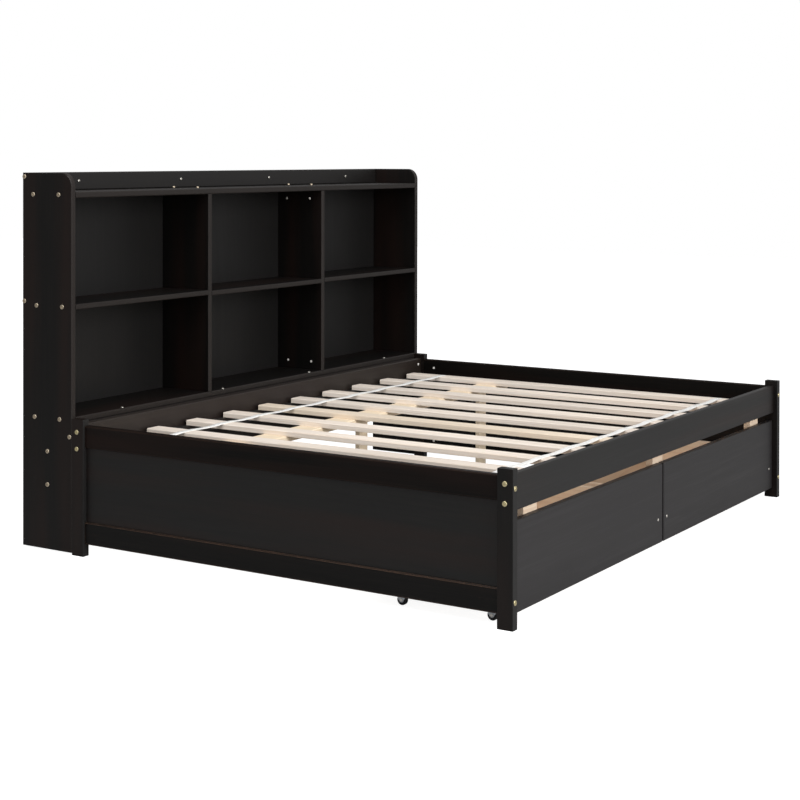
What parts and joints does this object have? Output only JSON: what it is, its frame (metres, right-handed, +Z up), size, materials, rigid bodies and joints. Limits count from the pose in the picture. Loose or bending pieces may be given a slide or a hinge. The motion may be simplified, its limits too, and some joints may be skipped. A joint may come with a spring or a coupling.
{
  "type": "bookcase bed",
  "caption": "Full size low bed with an open bookcase along one long side and rolling drawers under the other.",
  "frame": {"origin": "on the floor, at the centre of the plan's bounding box", "axes": "+X along the bed's length, +Z up, -Y the way the drawers pull out, the bookcase at +Y"},
  "size_m": [1.985, 1.6334, 1.112],
  "materials": {
    "stained_wood": "satin dark stain",
    "pale_wood": "planed, unfinished",
    "plank_wood": "planed, unfinished",
    "webbing": "woven",
    "brass_bolts": "antique",
    "steel": "zinc plated",
    "wheel_plastic": "matte"
  },
  "bodies": {
    "bed_frame": {"post_front_left": "stained_wood", "post_front_right": "stained_wood", "post_rear_left": "stained_wood", "post_rear_right": "stained_wood", "left_end_top_rail": "stained_wood", "left_end_panel": "stained_wood", "left_end_bottom_rail": "stained_wood", "right_end_top_rail": "stained_wood", "right_end_panel": "stained_wood", "right_end_bottom_rail": "stained_wood", "front_rail": "stained_wood", "rear_rail": "stained_wood", "front_ledger": "pale_wood", "rear_ledger": "stained_wood", "slats": "pale_wood", "strap_front": "webbing", "strap_rear": "webbing", "support_plank": "plank_wood", "support_legs": "pale_wood", "front_blocks": "pale_wood", "case_side_left": "stained_wood", "case_side_right": "stained_wood", "case_divider_left": "stained_wood", "case_divider_right": "stained_wood", "case_top_shelf": "stained_wood", "case_bottom_shelf": "stained_wood", "case_mid_shelf_left": "stained_wood", "case_mid_shelf_centre": "stained_wood", "case_mid_shelf_right": "stained_wood", "case_back": "stained_wood", "case_lip": "stained_wood", "case_apron": "stained_wood", "case_stretcher": "stained_wood", "post_bolts": "brass_bolts", "case_bolts": "brass_bolts", "barrel_nuts": "steel", "case_dowels": "pale_wood", "case_screws": "steel"},
    "drawer_left": {"drawer_left_front": "stained_wood", "drawer_left_wall_left": "pale_wood", "drawer_left_wall_right": "pale_wood", "drawer_left_back": "pale_wood", "drawer_left_floor": "pale_wood", "drawer_left_forks": "steel", "drawer_left_axles": "steel"},
    "drawer_left_wheel_front_left": {"drawer_left_wheel_front_left": "wheel_plastic"},
    "drawer_left_wheel_rear_left": {"drawer_left_wheel_rear_left": "wheel_plastic"},
    "drawer_left_wheel_front_right": {"drawer_left_wheel_front_right": "wheel_plastic"},
    "drawer_left_wheel_rear_right": {"drawer_left_wheel_rear_right": "wheel_plastic"},
    "drawer_right": {"drawer_right_front": "stained_wood", "drawer_right_wall_left": "pale_wood", "drawer_right_wall_right": "pale_wood", "drawer_right_back": "pale_wood", "drawer_right_floor": "pale_wood", "drawer_right_forks": "steel", "drawer_right_axles": "steel"},
    "drawer_right_wheel_front_left": {"drawer_right_wheel_front_left": "wheel_plastic"},
    "drawer_right_wheel_rear_left": {"drawer_right_wheel_rear_left": "wheel_plastic"},
    "drawer_right_wheel_front_right": {"drawer_right_wheel_front_right": "wheel_plastic"},
    "drawer_right_wheel_rear_right": {"drawer_right_wheel_rear_right": "wheel_plastic"}
  },
  "joints": [
    {"name": "drawer_left_slide", "type": "slide", "parent": "bed_frame", "child": "drawer_left", "axis": [0, -1, 0], "range_m": [0, 0.4]},
    {"name": "drawer_left_wheel_front_left_spin", "type": "hinge", "parent": "drawer_left", "child": "drawer_left_wheel_front_left", "pos_m": [-0.924, -0.72525, 0.014], "axis": [1, 0, 0], "continuous": true},
    {"name": "drawer_left_wheel_rear_left_spin", "type": "hinge", "parent": "drawer_left", "child": "drawer_left_wheel_rear_left", "pos_m": [-0.924, -0.46125, 0.014], "axis": [1, 0, 0], "continuous": true},
    {"name": "drawer_left_wheel_front_right_spin", "type": "hinge", "parent": "drawer_left", "child": "drawer_left_wheel_front_right", "pos_m": [-0.043, -0.72525, 0.014], "axis": [1, 0, 0], "continuous": true},
    {"name": "drawer_left_wheel_rear_right_spin", "type": "hinge", "parent": "drawer_left", "child": "drawer_left_wheel_rear_right", "pos_m": [-0.043, -0.46125, 0.014], "axis": [1, 0, 0], "continuous": true},
    {"name": "drawer_right_slide", "type": "slide", "parent": "bed_frame", "child": "drawer_right", "axis": [0, -1, 0], "range_m": [0, 0.4]},
    {"name": "drawer_right_wheel_front_left_spin", "type": "hinge", "parent": "drawer_right", "child": "drawer_right_wheel_front_left", "pos_m": [0.043, -0.72525, 0.014], "axis": [1, 0, 0], "continuous": true},
    {"name": "drawer_right_wheel_rear_left_spin", "type": "hinge", "parent": "drawer_right", "child": "drawer_right_wheel_rear_left", "pos_m": [0.043, -0.46125, 0.014], "axis": [1, 0, 0], "continuous": true},
    {"name": "drawer_right_wheel_front_right_spin", "type": "hinge", "parent": "drawer_right", "child": "drawer_right_wheel_front_right", "pos_m": [0.924, -0.72525, 0.014], "axis": [1, 0, 0], "continuous": true},
    {"name": "drawer_right_wheel_rear_right_spin", "type": "hinge", "parent": "drawer_right", "child": "drawer_right_wheel_rear_right", "pos_m": [0.924, -0.46125, 0.014], "axis": [1, 0, 0], "continuous": true}
  ],
  "couplings": [
    {"joint": "drawer_left_wheel_front_left_spin", "follows": "drawer_left_slide", "rad_per_m": 71.429},
    {"joint": "drawer_left_wheel_rear_left_spin", "follows": "drawer_left_slide", "rad_per_m": 71.429},
    {"joint": "drawer_left_wheel_front_right_spin", "follows": "drawer_left_slide", "rad_per_m": 71.429},
    {"joint": "drawer_left_wheel_rear_right_spin", "follows": "drawer_left_slide", "rad_per_m": 71.429},
    {"joint": "drawer_right_wheel_front_left_spin", "follows": "drawer_right_slide", "rad_per_m": 71.429},
    {"joint": "drawer_right_wheel_rear_left_spin", "follows": "drawer_right_slide", "rad_per_m": 71.429},
    {"joint": "drawer_right_wheel_front_right_spin", "follows": "drawer_right_slide", "rad_per_m": 71.429},
    {"joint": "drawer_right_wheel_rear_right_spin", "follows": "drawer_right_slide", "rad_per_m": 71.429}
  ]
}
